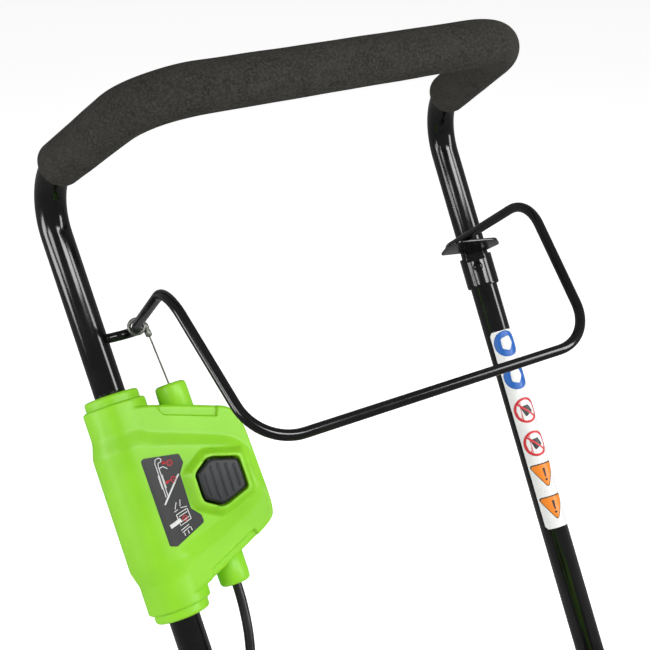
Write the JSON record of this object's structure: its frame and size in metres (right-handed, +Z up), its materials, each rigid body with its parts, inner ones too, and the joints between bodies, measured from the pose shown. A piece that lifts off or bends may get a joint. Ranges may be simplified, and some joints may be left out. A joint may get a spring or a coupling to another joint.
{
  "type": "cordless reel mower",
  "caption": "Cordless reel mower with a folding tube handle, foam grip, bail switch, powered cutting reel, two wheels and a rear roller.",
  "frame": {"origin": "middle of the mower's footprint, on the ground", "axes": "+X to the operator's left, which is the side away from the switch box; -Y is the direction of travel; +Z up"},
  "size_m": [0.528, 0.8508, 1.0061],
  "materials": {
    "gloss_paint": "gloss black powder coat",
    "black_paint": "satin black paint",
    "foam": "matt closed-cell foam",
    "nylon": "natural nylon",
    "zinc": "bright zinc plate",
    "green_plastic": "satin lime green moulding",
    "decal": "printed plastic film",
    "label": "printed vinyl label",
    "black_plastic": "fine texture moulding",
    "lead": "smooth rubber sheath",
    "wire": "stranded steel wire",
    "spring_steel": "drawn spring wire",
    "button_rubber": "soft ribbed rubber",
    "motor_steel": "phosphated steel",
    "belt_rubber": "ribbed belt",
    "bearing_steel": "ground steel",
    "blade_steel": "hardened and ground",
    "battery_plastic": "textured moulding",
    "key_plastic": "orange moulding",
    "pulley_aluminium": "machined",
    "tyre": "moulded tread rubber",
    "roller_plastic": "smooth polyethylene"
  },
  "bodies": {
    "deck": {"lead_deck_loop": "lead", "side_plate_left": "black_paint", "side_plate_right": "black_paint", "tie_rods": "zinc", "handle_pins": "zinc", "hood": "green_plastic", "battery_tray": "black_plastic", "motor_can": "motor_steel", "belt_cover": "black_plastic", "drive_belt": "belt_rubber", "reel_bearings": "bearing_steel", "reel_shield": "black_paint", "bedknife": "blade_steel", "bed_bar": "black_paint", "wheel_axles": "zinc", "lid_pin": "zinc"},
    "lower_handle": {"lower_tube_left": "gloss_paint", "lower_tube_right": "gloss_paint", "lower_brace": "gloss_paint", "fold_brackets": "black_paint", "fold_bolts": "zinc", "lead_fold_loop": "lead", "lead_lower": "lead", "lead_clips_lower": "black_plastic"},
    "upper_handle": {"upper_tube": "gloss_paint", "foam_grip": "foam", "bail_bushes": "nylon", "stop_bracket": "black_paint", "bracket_screw": "zinc", "switch_front_shell": "green_plastic", "switch_rear_shell": "green_plastic", "switch_screws": "zinc", "boots": "green_plastic", "switch_decal": "decal", "tube_label": "label", "micro_switch": "black_plastic", "lead_upper": "lead", "lead_clips_upper": "black_plastic"},
    "bail": {"bail_rod": "gloss_paint", "wire_hook": "zinc", "pull_wire": "wire"},
    "slider": {"switch_slider": "nylon", "slider_spring": "spring_steel"},
    "button": {"lock_button": "button_rubber"},
    "left_knob": {"fold_knob_left": "black_plastic"},
    "right_knob": {"fold_knob_right": "black_plastic"},
    "lid": {"battery_lid": "black_plastic"},
    "battery": {"battery_pack": "battery_plastic"},
    "key": {"safety_key": "key_plastic"},
    "reel": {"reel_shaft": "blade_steel", "reel_spiders": "black_paint", "reel_blades": "blade_steel", "reel_pulley": "pulley_aluminium"},
    "motor": {"motor_rotor": "motor_steel"},
    "left_wheel": {"left_hub": "green_plastic", "left_tyre": "tyre"},
    "right_wheel": {"right_hub": "green_plastic", "right_tyre": "tyre"},
    "arms": {"height_arms": "black_paint"},
    "rear_roller": {"roller": "roller_plastic"}
  },
  "joints": [
    {"name": "handle_tilt", "type": "hinge", "parent": "deck", "child": "lower_handle", "pos_m": [0, -0.12551, 0.15], "axis": [1, 0, 0], "range_deg": [0, 34], "deforming": ["lead_deck_loop"]},
    {"name": "handle_fold", "type": "hinge", "parent": "lower_handle", "child": "upper_handle", "pos_m": [0, 0.06873, 0.40407], "axis": [1, 0, 0], "range_deg": [0, 115], "deforming": ["lead_fold_loop"]},
    {"name": "bail_squeeze", "type": "hinge", "parent": "upper_handle", "child": "bail", "pos_m": [0, 0.34797, 0.76928], "axis": [-1, 0, 0], "range_deg": [0, 59], "stiffness_Nm_per_rad": 0.9, "springref_deg": -40.11, "deforming": ["pull_wire"]},
    {"name": "slider_travel", "type": "slide", "parent": "upper_handle", "child": "slider", "axis": [-0.034, 0.607, 0.794], "range_m": [0, 0.0175], "deforming": ["slider_spring"]},
    {"name": "button_press", "type": "slide", "parent": "upper_handle", "child": "button", "axis": [0, 0.7944, -0.6074], "range_m": [0, 0.004], "stiffness_N_per_m": 500, "springref_m": -0.006},
    {"name": "left_knob_turn", "type": "hinge", "parent": "lower_handle", "child": "left_knob", "pos_m": [-0.17275, 0.06873, 0.40407], "axis": [-1, 0, 0], "continuous": true},
    {"name": "right_knob_turn", "type": "hinge", "parent": "lower_handle", "child": "right_knob", "pos_m": [0.17275, 0.06873, 0.40407], "axis": [1, 0, 0], "continuous": true},
    {"name": "lid_open", "type": "hinge", "parent": "deck", "child": "lid", "pos_m": [0, -0.24151, 0.26264], "axis": [1, 0, 0], "range_deg": [0, 120]},
    {"name": "battery_out", "type": "slide", "parent": "deck", "child": "battery", "axis": [0, 0, 1], "range_m": [0, 0.085]},
    {"name": "key_out", "type": "slide", "parent": "deck", "child": "key", "axis": [0, 0, 1], "range_m": [0, 0.03]},
    {"name": "reel_spin", "type": "hinge", "parent": "deck", "child": "reel", "pos_m": [0, -0.34351, 0.10764], "axis": [1, 0, 0], "continuous": true},
    {"name": "motor_spin", "type": "hinge", "parent": "deck", "child": "motor", "pos_m": [0, -0.27751, 0.20764], "axis": [1, 0, 0], "continuous": true},
    {"name": "left_wheel_spin", "type": "hinge", "parent": "deck", "child": "left_wheel", "pos_m": [-0.238, -0.26551, 0.12], "axis": [1, 0, 0], "continuous": true},
    {"name": "right_wheel_spin", "type": "hinge", "parent": "deck", "child": "right_wheel", "pos_m": [0.238, -0.26551, 0.12], "axis": [1, 0, 0], "continuous": true},
    {"name": "height_adjust", "type": "hinge", "parent": "deck", "child": "arms", "pos_m": [0, -0.18051, 0.052], "axis": [1, 0, 0], "range_deg": [0, 16]},
    {"name": "roller_spin", "type": "hinge", "parent": "arms", "child": "rear_roller", "pos_m": [0, -0.13051, 0.025], "axis": [1, 0, 0], "continuous": true}
  ],
  "couplings": [
    {"joint": "motor_spin", "follows": "reel_spin", "ratio": 2.6667},
    {"joint": "slider_travel", "follows": "bail_squeeze", "m_per_rad": 0.0166},
    {"joint": "battery_out", "follows": "lid_open", "m_per_rad": 0.040585}
  ]
}
